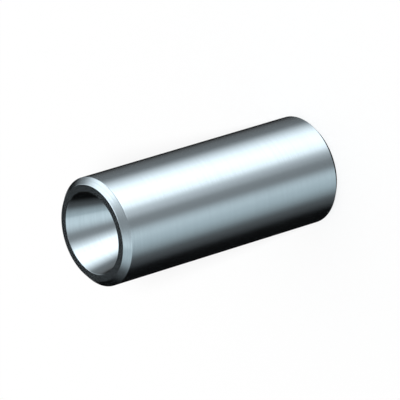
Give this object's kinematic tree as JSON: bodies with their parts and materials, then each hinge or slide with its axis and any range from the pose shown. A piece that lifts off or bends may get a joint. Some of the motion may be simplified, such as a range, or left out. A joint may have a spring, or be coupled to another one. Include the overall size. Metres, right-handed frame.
{
  "type": "piston pin",
  "caption": "Hollow steel piston pin, ground round outside, with chamfered ends and a through bore that opens out in a cone towards each end; joins a piston to a connecting rod.",
  "frame": {"origin": "centre of the lower end face, which the pin stands on", "axes": "+Z along the pin's axis, from the lower end face to the upper one; X and Y are any two radii at right angles"},
  "size_m": [0.022, 0.022, 0.0543],
  "materials": {
    "ground_steel": "case-hardened steel, ground and lapped outside, turned at the ends and in the bore"
  },
  "bodies": {
    "root": {"piston_pin": "ground_steel"}
  },
  "joints": []
}
